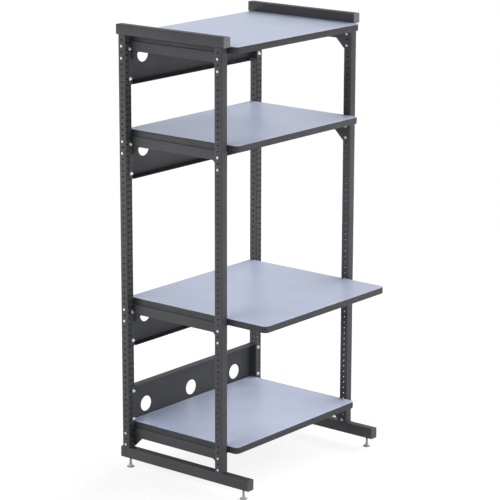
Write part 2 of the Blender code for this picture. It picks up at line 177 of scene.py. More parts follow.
# Finishes
RAMP_RANGE = (0.35, 0.65)  # part of a noise's range that a colour ramp covers
ROUGHNESS_RANGE = (0.3, 0.7)  # part that a roughness covers
PLASTIC_SPREAD = (-0.07, 0.07)  # how far a roughness strays from its middle
ZINC_SPREAD = (-0.08, 0.10)

# Names that the solids' names are made of
SIDES = {"left": -1, "right": 1}
ENDS = {"front": -1, "rear": 1}
SHELVES = ("bottom", "work", "upper", "top")


# Materials


def new_material(name, metallic=0.0, specular=0.5):
    """A node material with its shader and the position texture input."""
    material = bpy.data.materials.new(name)
    material.use_nodes = True
    nodes = material.node_tree.nodes
    shader = nodes["Principled BSDF"]
    shader.inputs["Metallic"].default_value = metallic
    shader.inputs["Specular IOR Level"].default_value = specular
    place = nodes.new("ShaderNodeTexCoord").outputs["Object"]
    return material, shader, place


def add_noise(material, place, scale, detail, roughness=0.5):
    """A noise over the piece, with scale in repeats to the metre."""
    noise = material.node_tree.nodes.new("ShaderNodeTexNoise")
    noise.inputs["Scale"].default_value = scale
    noise.inputs["Detail"].default_value = detail
    noise.inputs["Roughness"].default_value = roughness
    material.node_tree.links.new(place, noise.inputs["Vector"])
    return noise.outputs["Fac"]


def add_ramp(material, factor, first, last):
    """Colours between first and last, spread over the middle of a noise's range."""
    ramp = material.node_tree.nodes.new("ShaderNodeValToRGB")
    for element, position, colour in zip(ramp.color_ramp.elements, RAMP_RANGE, (first, last)):
        element.position = position
        element.color = (*colour, 1)
    material.node_tree.links.new(factor, ramp.inputs["Fac"])
    return ramp.outputs["Color"]


def add_range(material, factor, low, high):
    """Values between low and high, driven by a noise."""
    spread = material.node_tree.nodes.new("ShaderNodeMapRange")
    limits = {"From Min": ROUGHNESS_RANGE[0], "From Max": ROUGHNESS_RANGE[1], "To Min": low, "To Max": high}
    for name, value in limits.items():
        spread.inputs[name].default_value = value
    material.node_tree.links.new(factor, spread.inputs["Value"])
    return spread.outputs["Result"]


def add_tint(material, colour, tint, amount):
    """The colour multiplied by a tint, by this amount of it."""
    mix = material.node_tree.nodes.new("ShaderNodeMix")
    mix.data_type = "RGBA"
    mix.blend_type = "MULTIPLY"
    mix.inputs["Factor"].default_value = amount
    material.node_tree.links.new(colour, mix.inputs["A"])
    material.node_tree.links.new(tint, mix.inputs["B"])
    return mix.outputs["Result"]


def add_bump(material, shader, height, strength, distance):
    """Relief from a noise."""
    bump = material.node_tree.nodes.new("ShaderNodeBump")
    bump.inputs["Strength"].default_value = strength
    bump.inputs["Distance"].default_value = distance
    material.node_tree.links.new(height, bump.inputs["Height"])
    material.node_tree.links.new(bump.outputs["Normal"], shader.inputs["Normal"])


def connect(material, shader, **outputs):
    """Links each output to the shader's input of that name."""
    for name, output in outputs.items():
        material.node_tree.links.new(output, shader.inputs[name.replace("_", " ")])


def make_paint():
    """Charcoal powder coat: fine orange peel, faint cloudiness and an uneven sheen."""
    material, shader, place = new_material("powder_coat", specular=0.14)
    cloud = add_noise(material, place, scale=6, detail=4)
    peel = add_noise(material, place, scale=900, detail=2)
    grain = add_noise(material, place, scale=2600, detail=1)
    colour = add_ramp(material, cloud, (0.055, 0.056, 0.061), (0.064, 0.065, 0.071))
    fleck = add_ramp(material, grain, (0.86, 0.86, 0.86), (1.0, 1.0, 1.0))
    connect(
        material,
        shader,
        Base_Color=add_tint(material, colour, fleck, amount=0.7),
        Roughness=add_range(material, peel, low=0.46, high=0.60),
    )
    add_bump(material, shader, peel, strength=0.14, distance=0.0004)
    return material


def make_laminate():
    """Pale blue-grey high-pressure laminate: fine specks over faint clouds, with a soft sheen."""
    material, shader, place = new_material("laminate", specular=0.30)
    cloud = add_noise(material, place, scale=9, detail=5)
    speck = add_noise(material, place, scale=620, detail=4, roughness=0.7)
    peel = add_noise(material, place, scale=1500, detail=2)
    colour = add_ramp(material, cloud, (0.612, 0.678, 0.878), (0.656, 0.722, 0.922))
    tint = add_ramp(material, speck, (0.90, 0.91, 0.93), (1.0, 1.0, 1.0))
    connect(
        material,
        shader,
        Base_Color=add_tint(material, colour, tint, amount=0.6),
        Roughness=add_range(material, cloud, low=0.34, high=0.44),
    )
    add_bump(material, shader, peel, strength=0.05, distance=0.0002)
    return material


def make_backer():
    """Plain balancing sheet and board under a shelf."""
    material, shader, place = new_material("backer_board", specular=0.35)
    fibre = add_noise(material, place, scale=180, detail=6, roughness=0.7)
    connect(
        material,
        shader,
        Base_Color=add_ramp(material, fibre, (0.30, 0.30, 0.31), (0.38, 0.38, 0.39)),
        Roughness=add_range(material, fibre, low=0.50, high=0.65),
    )
    add_bump(material, shader, fibre, strength=0.08, distance=0.0003)
    return material


def make_moulded(name, dark, light, pebble, roughness):
    """Moulded or extruded plastic with a fine pebbled skin."""
    material, shader, place = new_material(name, specular=0.16)
    skin = add_noise(material, place, scale=pebble, detail=2)
    cloud = add_noise(material, place, scale=14, detail=3)
    connect(
        material,
        shader,
        Base_Color=add_ramp(material, cloud, dark, light),
        Roughness=add_range(material, skin, *(roughness + step for step in PLASTIC_SPREAD)),
    )
    add_bump(material, shader, skin, strength=0.18, distance=0.0003)
    return material


def make_zinc(name, dark, light, roughness):
    """Zinc plate: slightly uneven brightness and fine scuffs in the sheen."""
    material, shader, place = new_material(name, metallic=1.0)
    cloud = add_noise(material, place, scale=90, detail=4)
    scuff = add_noise(material, place, scale=1400, detail=3, roughness=0.7)
    connect(
        material,
        shader,
        Base_Color=add_ramp(material, cloud, dark, light),
        Roughness=add_range(material, scuff, *(roughness + step for step in ZINC_SPREAD)),
    )
    add_bump(material, shader, scuff, strength=0.06, distance=0.0002)
    return material


PAINT = make_paint()
LAMINATE = make_laminate()
BACKER = make_backer()
EDGING = make_moulded("edge_band", (0.036, 0.037, 0.041), (0.044, 0.045, 0.050), 1100, 0.50)
TOP_CAP = make_moulded("top_cap_plastic", (0.166, 0.167, 0.173), (0.194, 0.195, 0.202), 1300, 0.52)
BASE_CAP = make_moulded("base_cap_plastic", (0.068, 0.069, 0.075), (0.080, 0.081, 0.088), 1300, 0.55)
PLUG = make_moulded("plug_plastic", (0.024, 0.024, 0.025), (0.032, 0.032, 0.033), 1300, 0.60)
ZINC = make_zinc("bright_zinc", (0.62, 0.63, 0.64), (0.74, 0.74, 0.73), 0.38)
BOLT_ZINC = make_zinc("bolt_zinc", (0.36, 0.365, 0.38), (0.44, 0.445, 0.46), 0.54)
STEM_ZINC = make_zinc("stem_zinc", (0.28, 0.265, 0.25), (0.36, 0.34, 0.32), 0.70)
PAD_ZINC = make_zinc("pad_zinc", (0.30, 0.29, 0.285), (0.40, 0.39, 0.38), 0.74)


# Mesh tools


def ring_solid(rings, joined=False):
    """A closed surface through rings of equally many points. If joined, the last ring meets the first."""
    bm = bmesh.new()
    loops = [[bm.verts.new(point) for point in ring] for ring in rings]
    pairs = list(zip(loops, loops[1:]))
    if joined:
        pairs.append((loops[-1], loops[0]))
    else:
        bm.faces.new(reversed(loops[0]))
        bm.faces.new(loops[-1])
    for lower, upper in pairs:
        for index in range(len(lower)):
            after = (index + 1) % len(lower)
            bm.faces.new((lower[index], lower[after], upper[after], upper[index]))
    bmesh.ops.recalc_face_normals(bm, faces=bm.faces)
    return bm


def joined_meshes(meshes):
    """Several meshes as one."""
    whole = bmesh.new()
    for bm in meshes:
        part = bpy.data.meshes.new("part")
        bm.to_mesh(part)
        bm.free()
        whole.from_mesh(part)
        bpy.data.meshes.remove(part)
    return whole


def prism(section, place, first, last):
    """A section swept straight from first to last. place turns (a, b, distance) into a point."""
    return ring_solid([[place(a, b, distance) for a, b in section] for distance in (first, last)])


def upward(a, b, z):
    """Places a section of x and y at a height."""
    return a, b, z


def sideways(a, b, x):
    """Places a section of y and z at a distance along x."""
    return x, a, b


def box_mesh(low, high):
    """A plain box between two corners."""
    bm = bmesh.new()
    size = Vector(high) - Vector(low)
    centre = (Vector(high) + Vector(low)) / 2
    bmesh.ops.create_cube(bm, size=1, matrix=Matrix.Translation(centre) @ Matrix.Diagonal((*size, 1)))
    return bm


def bars_mesh(bars, sides):
    """Round bars, each given by its centre, axis, diameter and length."""
    bm = bmesh.new()
    for centre, axis, diameter, length in bars:
        turn = Vector((0, 0, 1)).rotation_difference(Vector(axis)).to_matrix().to_4x4()
        bmesh.ops.create_cone(
            bm,
            cap_ends=True,
            segments=sides,
            radius1=diameter / 2,
            radius2=diameter / 2,
            depth=length,
            matrix=Matrix.Translation(centre) @ turn,
        )
    return bm


def rounded_path(corners, radii):
    """A line through the corners, with an arc of its own radius in place of each inner corner."""
    corners = [Vector(corner) for corner in corners]
    points = [corners[0]]
    for before, corner, after, radius in zip(corners, corners[1:], corners[2:], radii):
        back = (before - corner).normalized()
        ahead = (after - corner).normalized()
        half = back.angle(ahead) / 2
        centre = corner + (back + ahead).normalized() * radius / math.sin(half)
        first = corner + back * radius / math.tan(half) - centre
        last = corner + ahead * radius / math.tan(half) - centre
        for step in range(ARC_STEPS + 1):
            points.append(centre + first.lerp(last, step / ARC_STEPS).normalized() * radius)
    points.append(corners[-1])
    return points


def rounded_outline(corners, radii):
    """A closed outline with every corner rounded."""
    start = (Vector(corners[0]) + Vector(corners[-1])) / 2
    return rounded_path([start, *corners, start], radii)[:-1]


def sheet_section(corners, thickness, bend):
    """Outline of a bent sheet, from the corners of its middle line."""
    line = rounded_path(corners, [bend] * (len(corners) - 2))
    ways = []
    for index in range(len(line)):
        ahead = line[min(index + 1, len(line) - 1)] - line[max(index - 1, 0)]
        ways.append(Vector((-ahead.y, ahead.x)).normalized() * thickness / 2)
    left = [point + way for point, way in zip(line, ways)]
    right = [point - way for point, way in zip(line, ways)]
    return left + right[::-1]


def rectangle(width, height, radius):
    """The outline of a rectangle about the origin, with round corners."""
    x = width / 2
    y = height / 2
    corners = [(-x, -y), (x, -y), (x, y), (-x, y)]
    return rounded_outline(corners, [radius] * len(corners))


def tube(width, height, wall, corner, place, first, last):
    """A rectangular tube with round corners, open at both ends."""
    outer = rectangle(width, height, corner)
    inner = rectangle(width - 2 * wall, height - 2 * wall, max(corner - wall, INNER_CORNER * wall))
    rings = [(outer, first), (outer, last), (inner, last), (inner, first)]
    return ring_solid([[place(a, b, distance) for a, b in loop] for loop, distance in rings], joined=True)


def turned(profile, joined=False):
    """A profile of (radius, height) turned about z."""
    return ring_solid([circle_ring(radius, height) for radius, height in profile], joined)


def hex_rings(across, low, high):
    """Rings of a hexagon with a chamfered top: its foot, the chamfer's edge and the top circle."""
    top = across / 2 * HEX_TOP
    foot = []
    edge = []
    circle = []
    for step in range(ROUND_SIDES):
        angle = 2 * math.pi * step / ROUND_SIDES
        reach = across / 2 / math.cos(math.remainder(angle, math.pi / 3))
        foot.append((reach * math.cos(angle), reach * math.sin(angle), low))
        drop = (reach - top) * HEX_SLOPE
        edge.append((reach * math.cos(angle), reach * math.sin(angle), high - drop))
        circle.append((top * math.cos(angle), top * math.sin(angle), high))
    return [foot, edge, circle]


def circle_ring(radius, height):
    """A level ring of points about z."""
    angles = [2 * math.pi * step / ROUND_SIDES for step in range(ROUND_SIDES)]
    return [(radius * math.cos(angle), radius * math.sin(angle), height) for angle in angles]


def to_object(name, bm):
    """The mesh as an object of the scene."""
    mesh = bpy.data.meshes.new(name)
    bm.to_mesh(mesh)
    bm.free()
    obj = bpy.data.objects.new(name, mesh)
    bpy.context.scene.collection.objects.link(obj)
    return obj


def boolean(obj, bm, operation):
    """Applies a Boolean of this mesh to the object."""
    tool = to_object("tool", bm)
    modifier = obj.modifiers.new("boolean", "BOOLEAN")
    modifier.operation = operation
    modifier.solver = "EXACT"
    modifier.object = tool
    graph = bpy.context.evaluated_depsgraph_get()
    mesh = bpy.data.meshes.new_from_object(obj.evaluated_get(graph))
    obj.modifiers.clear()
    old = obj.data
    obj.data = mesh
    mesh.name = obj.name
    bpy.data.meshes.remove(old)
    tool_mesh = tool.data
    bpy.data.objects.remove(tool)
    bpy.data.meshes.remove(tool_mesh)


def dress(obj, material, body="rack", nodes=()):
    """Gives a piece its finish, its smooth shading and the body it rides on, and hides the solids it stands
    for.
    """
    obj.data.materials.clear()
    obj.data.materials.append(material)
    obj.data.shade_smooth()
    obj.data.set_sharp_from_angle(angle=SMOOTH_ANGLE)
    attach(obj, body)
    if nodes:
        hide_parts(*nodes)
    return obj


# Places taken from the solids

POST_LOW, POST_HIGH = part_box("post_front_right")
REAR_POST_LOW, REAR_POST_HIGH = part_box("post_rear_right")
INNER_X = POST_LOW.x
OUTER_X = POST_HIGH.x
POST_Y = {"front": (POST_LOW.y + POST_HIGH.y) / 2, "rear": (REAR_POST_LOW.y + REAR_POST_HIGH.y) / 2}
POST_WIDTH = POST_HIGH.x - POST_LOW.x
POST_DEPTH = POST_HIGH.y - POST_LOW.y
HOLE_COUNT = 1 + int((POST_HIGH.z - POST_LOW.z - FIRST_HOLE - LAST_HOLE_EDGE) / HOLE_PITCH)
SHELF_TOP = {shelf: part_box(f"shelf_{shelf}")[1].z for shelf in SHELVES}


def hole_z(index):
    """The height of a post's hole, counted from its foot."""
    return POST_LOW.z + FIRST_HOLE + index * HOLE_PITCH


def bolt_heights(shelf):
    """The heights of the two bolts in a bracket's ear."""
    lower = SHELF_TOP[shelf] - SHELF_ABOVE_BOLT * HOLE_PITCH
    return [lower, lower + BOLT_STEP * HOLE_PITCH]


def flanged_edge(shelf):
    """The height of a panel's flanged edge, and the way to it from the plain edge."""
    low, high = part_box(f"rear_panel_{shelf}")
    return (high.z, 1) if shelf == "bottom" else (low.z, -1)


def screw_heights(shelf):
    """The heights of the two screws in a panel's tab."""
    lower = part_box(f"rear_panel_{shelf}")[0].z + PANEL_BELOW_SCREW
    return [lower, lower + PANEL_SCREW_STEP * HOLE_PITCH]


# Posts and rails


def make_post(end, side):
    """A square tube drilled through both side walls, with two raised rows up its inward face."""
    name = f"post_{end}_{side}"
    low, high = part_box(name)
    x = (low.x + high.x) / 2
    y = POST_Y[end]

    def upright(a, b, z):
        return x + a, y + b, z

    mesh = tube(POST_WIDTH, POST_DEPTH, POST_WALL, POST_CORNER, upright, low.z, high.z)
    post = to_object(f"{name}_tube", mesh)
    inward_y = y - ENDS[end] * (POST_DEPTH / 2 - POST_WALL / 2)
    columns = (low.x + COLUMN_INSET, high.x - COLUMN_INSET)
    drill = POST_WALL + 2 * OVERCUT
    bars = []
    for index in range(HOLE_COUNT):
        bars.append(((x, y, hole_z(index)), (1, 0, 0), HOLE_DIAMETER, POST_WIDTH + 2 * OVERCUT))
        column_z = hole_z(index + COLUMN_START)
        if column_z < high.z - LAST_HOLE_EDGE:
            for column_x in columns:
                bars.append(((column_x, inward_y, column_z), (0, 1, 0), HOLE_DIAMETER, drill))
    boolean(post, bars_mesh(bars, HOLE_SIDES), "DIFFERENCE")
    dress(post, PAINT, nodes=[name])


def make_rail(level, side):
    """A rail of rectangular tube with its two end caps."""
    name = f"{level}_rail_{side}"
    low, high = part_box(name)
    centre = (low + high) / 2
    size = high - low

    def along(a, b, y):
        return centre.x + a, y, centre.z + b

    rail = to_object(f"{name}_tube", tube(size.x, size.z, RAIL_WALL, RAIL_CORNER, along, low.y, high.y))
    boolean(rail, bars_mesh(rail_bores(level, side, low, high), ROUND_SIDES), "DIFFERENCE")
    dress(rail, PAINT, nodes=[name])
    for end in ENDS:
        make_cap(level, end, side, along, size)


def rail_bores(level, side, low, high):
    """Bores for the plugs' spigots in the wall by the posts and, in a base rail, for the feet's stems."""
    drill = RAIL_WALL + 2 * OVERCUT
    x = (low.x + high.x) / 2
    post_wall, far_wall = low.z + RAIL_WALL / 2, high.z - RAIL_WALL / 2
    if level == "base":
        post_wall, far_wall = far_wall, post_wall
    bores = [((x, y, post_wall), (0, 0, 1), SPIGOT_BORE, drill) for y in POST_Y.values()]
    if level == "base":
        for end in ENDS:
            stem_low, stem_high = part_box(f"foot_stem_{end}_{side}")
            bores.append(((x, (stem_low.y + stem_high.y) / 2, far_wall), (0, 0, 1), 2 * PAD_SOCKET, drill))
    return bores


def make_cap(level, end, side, along, size):
    """An end cap: a plate with a rounded face, and a plug inside the tube."""
    name = f"{level}_cap_{end}_{side}"
    low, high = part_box(name)
    tip, back = (low.y, high.y) if end == "front" else (high.y, low.y)
    way = -ENDS[end]
    rail_low, rail_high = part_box(f"{level}_rail_{side}")
    seat = rail_low.y if end == "front" else rail_high.y
    inset = 2 * (RAIL_WALL + CAP_PLUG_STEP)
    plug = rectangle(size.x - inset, size.z - inset, CAP_PLUG_CORNER)
    lead = rectangle(size.x - inset - 2 * CAP_EDGE, size.z - inset - 2 * CAP_EDGE, CAP_PLUG_CORNER)
    plate = rectangle(size.x, size.z, RAIL_CORNER)
    rings = [(lead, back), (plug, back - way * CAP_EDGE), (plug, seat), (plate, seat)]
    for step in range(ARC_STEPS + 1):
        angle = step / ARC_STEPS * math.pi / 2
        shrink = 2 * CAP_EDGE * (1 - math.cos(angle))
        face = rectangle(size.x - shrink, size.z - shrink, RAIL_CORNER - shrink / 2)
        rings.append((face, tip + way * CAP_EDGE * (1 - math.sin(angle))))
    cap = to_object(f"{name}_moulding", ring_solid([[along(a, b, y) for a, b in loop] for loop, y in rings]))
    dress(cap, TOP_CAP if level == "top" else BASE_CAP, nodes=[name])


# Shelves


def shelf_ring(low, high, inset, z):
    """A ring round a shelf at this height, inset from its edge, with round front corners."""
    half = high.x - inset
    front = low.y + inset
    rear = high.y - inset
    radius = SHELF_CORNER_RADIUS - inset
    ring = [(half, rear, z), (-half, rear, z)]
    for centre_x, start in ((-half + radius, math.pi), (half - radius, 1.5 * math.pi)):
        for step in range(CORNER_STEPS + 1):
            angle = start + step / CORNER_STEPS * math.pi / 2
            ring.append((centre_x + radius * math.cos(angle), front + radius + radius * math.sin(angle), z))
    return ring


def band_profile(thickness):
    """The edge band's section as (inset, height): a flat back and a crowned face with round edges."""
    profile = [(EDGE_BAND, 0)]
    for step in range(ARC_STEPS + 1):
        angle = step / ARC_STEPS * math.pi / 2
        inset = BAND_CROWN + BAND_ROUND * (1 - math.sin(angle))
        profile.append((inset, BAND_ROUND * (1 - math.cos(angle))))
    profile.append((0, thickness / 2))
    mirrored = [(inset, thickness - height) for inset, height in reversed(profile[:-1])]
    return profile + mirrored


def make_shelf(shelf):
    """A board with a laminate top and a dark edge band round it."""
    low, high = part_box(f"shelf_{shelf}_edge")
    sheet_low = high.z - LAMINATE_SHEET
    rings = [shelf_ring(low, high, inset, low.z + z) for inset, z in band_profile(sheet_low - low.z)]
    band = to_object(f"shelf_{shelf}_band", ring_solid(rings, joined=True))
    dress(band, EDGING, nodes=[f"shelf_{shelf}_edge"])

    rings = [shelf_ring(low, high, EDGE_BAND + PIECE_GAP, z) for z in (low.z, sheet_low)]
    board = to_object(f"shelf_{shelf}_board", ring_solid(rings))
    dress(board, BACKER, nodes=[f"shelf_{shelf}"])
    rings = [
        shelf_ring(low, high, LAMINATE_INSET, sheet_low),
        shelf_ring(low, high, LAMINATE_INSET, high.z - LAMINATE_EASE),
        shelf_ring(low, high, LAMINATE_INSET + LAMINATE_EASE, high.z),
    ]
    sheet = to_object(f"shelf_{shelf}_laminate", ring_solid(rings))
    dress(sheet, LAMINATE, nodes=[f"shelf_{shelf}"])


# Sheet steel


def make_bracket(shelf, side):
    """An angle under the shelf's end, bent from sheet, with an ear on each post."""
    name = f"bracket_{shelf}_{side}"
    way = SIDES[side]
    low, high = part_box(name)
    outer = max(abs(low.x), abs(high.x))
    inner = min(abs(low.x), abs(high.x))
    middle = BRACKET_SHEET / 2
    corners = [(outer - middle, low.z - OVERCUT), (outer - middle, high.z - middle), (inner, high.z - middle)]
    section = sheet_section(corners, BRACKET_SHEET, BRACKET_BEND)

    def along(a, b, y):
        return way * a, y, b

    bracket = to_object(f"{name}_sheet", prism(section, along, low.y - OVERCUT, high.y + OVERCUT))

    ear_front = POST_HIGH.y
    ear_rear = REAR_POST_LOW.y
    web_low = SHELF_TOP[shelf] - BRACKET_DROP
    slope = web_low - low.z
    rounding = {
        (low.y, high.z + OVERCUT): EAR_CORNER,
        (low.y, low.z): EAR_CORNER,
        (ear_front, low.z): EAR_CORNER,
        (ear_front + slope, web_low): SLOPE_CORNER,
        (ear_rear - slope, web_low): SLOPE_CORNER,
        (ear_rear, low.z): EAR_CORNER,
        (high.y, low.z): EAR_CORNER,
        (high.y, high.z + OVERCUT): EAR_CORNER,
    }
    outline = rounded_outline(list(rounding), rounding.values())
    reach = outer + OVERCUT
    boolean(bracket, prism(outline, sideways, *sorted((0, way * reach))), "INTERSECT")

    drill = BRACKET_SHEET + 2 * OVERCUT
    bars = []
    for y in POST_Y.values():
        for step in range(BOLT_STEP + 1):
            z = bolt_heights(shelf)[0] + step * HOLE_PITCH
            bars.append(((way * (outer - middle), y, z), (1, 0, 0), HOLE_DIAMETER, drill))
    boolean(bracket, bars_mesh(bars, HOLE_SIDES), "DIFFERENCE")
    dress(bracket, PAINT, nodes=[name])


def make_panel(shelf):
    """A pan between the rear posts: web with cable holes, cheeks, bolted tabs and one long flange."""
    name = f"rear_panel_{shelf}"
    low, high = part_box(name)
    far, way = flanged_edge(shelf)
    middle = PANEL_SHEET / 2
    half = INNER_X - PIECE_GAP - middle
    tab_y = low.y + middle
    web_y = high.y - middle
    corners = [(high.x, tab_y), (half, tab_y), (half, web_y), (-half, web_y), (-half, tab_y), (low.x, tab_y)]
    section = sheet_section(corners, PANEL_SHEET, PANEL_BEND)
    panel = to_object(f"{name}_sheet", prism(section, upward, low.z, high.z))

    flange_half = half - middle - PANEL_CORNER_RELIEF
    bend_z = far - way * (PANEL_BEND + middle)
    trim_low, trim_high = sorted((bend_z, far + way * OVERCUT))
    trim = box_mesh((-flange_half, low.y + OVERCUT, trim_low), (flange_half, high.y + OVERCUT, trim_high))
    boolean(panel, trim, "DIFFERENCE")
    corners = [
        (web_y, bend_z - way * OVERCUT),
        (web_y, far - way * middle),
        (low.y, far - way * middle),
    ]
    strip = sheet_section(corners, PANEL_SHEET - 2 * SEAM, PANEL_BEND)
    boolean(panel, prism(strip, sideways, SEAM - flange_half, flange_half - SEAM), "UNION")

    if shelf != "bottom":
        boolean(panel, panel_notches(shelf, low, high), "DIFFERENCE")
    drill = PANEL_SHEET + 2 * OVERCUT
    cable_z = far - way * CABLE_HOLE_EDGE
    cables = [
        ((step * CABLE_HOLE_SPACING, web_y, cable_z), (0, 1, 0), CABLE_HOLE_DIAMETER, drill)
        for step in (-1, 0, 1)
    ]
    boolean(panel, bars_mesh(cables, CABLE_HOLE_SIDES), "DIFFERENCE")
    screws = [
        ((side * (INNER_X + COLUMN_INSET), tab_y, z), (0, 1, 0), SCREW_DIAMETER + SCREW_CLEAR, drill)
        for side in SIDES.values()
        for z in screw_heights(shelf)
    ]
    boolean(panel, bars_mesh(screws, HOLE_SIDES), "DIFFERENCE")
    dress(panel, PAINT, nodes=[name])


def panel_notches(shelf, low, high):
    """Room in both cheeks for the ears of the shelf's brackets."""
    ear_low, ear_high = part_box(f"bracket_{shelf}_right")
    boxes = []
    for side in SIDES.values():
        near, far = sorted((side * (ear_low.x + EAR_CLEAR), side * (INNER_X + PIECE_GAP)))
        foot = ear_low.z - EAR_CLEAR
        boxes.append(box_mesh((near, low.y - OVERCUT, foot), (far, ear_high.y + PIECE_GAP, high.z + OVERCUT)))
    return joined_meshes(boxes)


# Fasteners


def thread_rings(radius, depth, pitch, low, high):
    """Plain grooves up a bolt's shank, as rings from low to high."""
    count = int((high - low) / pitch)
    rings = []
    for turn in range(count):
        z = low + turn * pitch
        rings.append(circle_ring(radius - depth, z))
        rings.append(circle_ring(radius, z + pitch / 2))
    rings.append(circle_ring(radius - depth, low + count * pitch))
    return rings


def bolt_mesh(grip):
    """A hex bolt along z, its head's underside at z = 0 and its shank below, threaded past the grip."""
    radius = BOLT_DIAMETER / 2
    tip = -grip - NUT_HEIGHT - BOLT_TAIL
    rings = [circle_ring(radius - 2 * THREAD_DEPTH, tip)]
    rings += thread_rings(radius, THREAD_DEPTH, THREAD_PITCH, tip + THREAD_PITCH / 2, THREAD_PITCH - grip)
    rings += [circle_ring(radius, 2 * THREAD_PITCH - grip), circle_ring(radius, 0)]
    rings += hex_rings(BOLT_ACROSS_FLATS, 0, BOLT_HEAD)
    return ring_solid(rings)


def nut_mesh(across, height, bore):
    """A hex nut along z, chamfered on both faces and in its bore."""
    low = [[(x, y, height - z) for x, y, z in ring] for ring in hex_rings(across, height / 2, height)]
    high = hex_rings(across, height / 2, height)
    chamfer = NUT_CHAMFER * bore
    rings = [
        circle_ring(bore / 2, chamfer),
        circle_ring(bore / 2 + chamfer, 0),
        low[2],
        low[1],
        high[1],
        high[2],
        circle_ring(bore / 2 + chamfer, height),
        circle_ring(bore / 2, height - chamfer),
    ]
    return ring_solid(rings, joined=True)


def screw_mesh():
    """A hex screw along z with a washer under its head; the washer's underside is at z = 0."""
    radius = SCREW_DIAMETER / 2
    rim = WASHER_DIAMETER / 2
    profile = [
        (radius - THREAD_DEPTH, -SCREW_LENGTH),
        (radius, THREAD_PITCH - SCREW_LENGTH),
        (radius, 0),
        (rim - WASHER_EASE, 0),
        (rim, WASHER_EASE),
        (rim, WASHER_SHEET - WASHER_EASE),
        (rim - WASHER_EASE, WASHER_SHEET),
    ]
    rings = [circle_ring(*point) for point in profile]
    rings += hex_rings(SCREW_ACROSS_FLATS, WASHER_SHEET, WASHER_SHEET + SCREW_HEAD)
    return ring_solid(rings)


def facing(axis, centre):
    """Places a mesh made along z at centre, pointing along the axis."""
    return Matrix.Translation(centre) @ Vector(axis).to_track_quat("Z", "Y").to_matrix().to_4x4()


def make_bracket_bolts(shelf, side):
    """The four bolts that hold a bracket, heads outside the posts, and their nuts inside."""
    way = SIDES[side]
    low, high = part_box(f"bracket_{shelf}_{side}")
    nut_seat = max(abs(low.x), abs(high.x)) - BRACKET_SHEET
    grip = OUTER_X - nut_seat
    bolts = []
    nuts = []
    for y in POST_Y.values():
        for z in bolt_heights(shelf):
            bolt = bolt_mesh(grip)
            bolt.transform(facing((way, 0, 0), (way * OUTER_X, y, z)))
            bolts.append(bolt)
            nut = nut_mesh(BOLT_ACROSS_FLATS, NUT_HEIGHT, BOLT_DIAMETER)
            nut.transform(facing((-way, 0, 0), (way * nut_seat, y, z)))
            nuts.append(nut)
    dress(to_object(f"bracket_bolts_{shelf}_{side}", joined_meshes(bolts)), BOLT_ZINC)
    dress(to_object(f"bracket_nuts_{shelf}_{side}", joined_meshes(nuts)), ZINC)


def make_panel_screws(shelf):
    """The screws that hold a panel's two tabs on the rear posts."""
    tab_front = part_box(f"rear_panel_{shelf}")[0].y
    screws = []
    for way in SIDES.values():
        for z in screw_heights(shelf):
            screw = screw_mesh()
            screw.transform(facing((0, -1, 0), (way * (INNER_X + COLUMN_INSET), tab_front, z)))
            screws.append(screw)
    dress(to_object(f"panel_screws_{shelf}", joined_meshes(screws)), ZINC)


# Feet


def stem_mesh(length):
    """A threaded rod along z from 0, with a helical thread that fades out at both ends."""
    radius = STEM_DIAMETER / 2
    rows = int(length / STEM_PITCH * THREAD_ROWS)
    rings = []
    for row in range(rows + 1):
        z = length * row / rows
        fade = min(1, z / STEM_PITCH, (length - z) / STEM_PITCH)
        ring = []
        for step in range(THREAD_SIDES):
            turn = step / THREAD_SIDES
            groove = abs(2 * ((z / STEM_PITCH - turn) % 1) - 1)
            reach = radius - STEM_THREAD * (1 - fade * (1 - groove))
            angle = 2 * math.pi * turn
            ring.append((reach * math.cos(angle), reach * math.sin(angle), z))
        rings.append(ring)
    return ring_solid(rings)


def pad_mesh(radius, floor):
    """A swivel pad: a round-edged disc that sweeps up to a hub round the stem's socket."""
    shoulder = PAD_HUB_TOP - HUB_EDGE
    flare = radius - PAD_EDGE - PAD_HUB
    rise = shoulder - PAD_RIM
    profile = [
        (PAD_SOCKET, floor),
        (PAD_SOCKET, PAD_HUB_TOP),
        (PAD_HUB - HUB_EDGE, PAD_HUB_TOP),
        (PAD_HUB, shoulder),
    ]
    for step in range(1, ARC_STEPS + 1):
        angle = step / ARC_STEPS * math.pi / 2
        profile.append((PAD_HUB + flare * (1 - math.cos(angle)), PAD_RIM + rise * (1 - math.sin(angle))))
    profile += [(radius, PAD_RIM - PAD_EDGE), (radius, PAD_EDGE), (radius - PAD_EDGE, 0)]
    return turned(list(reversed(profile)))


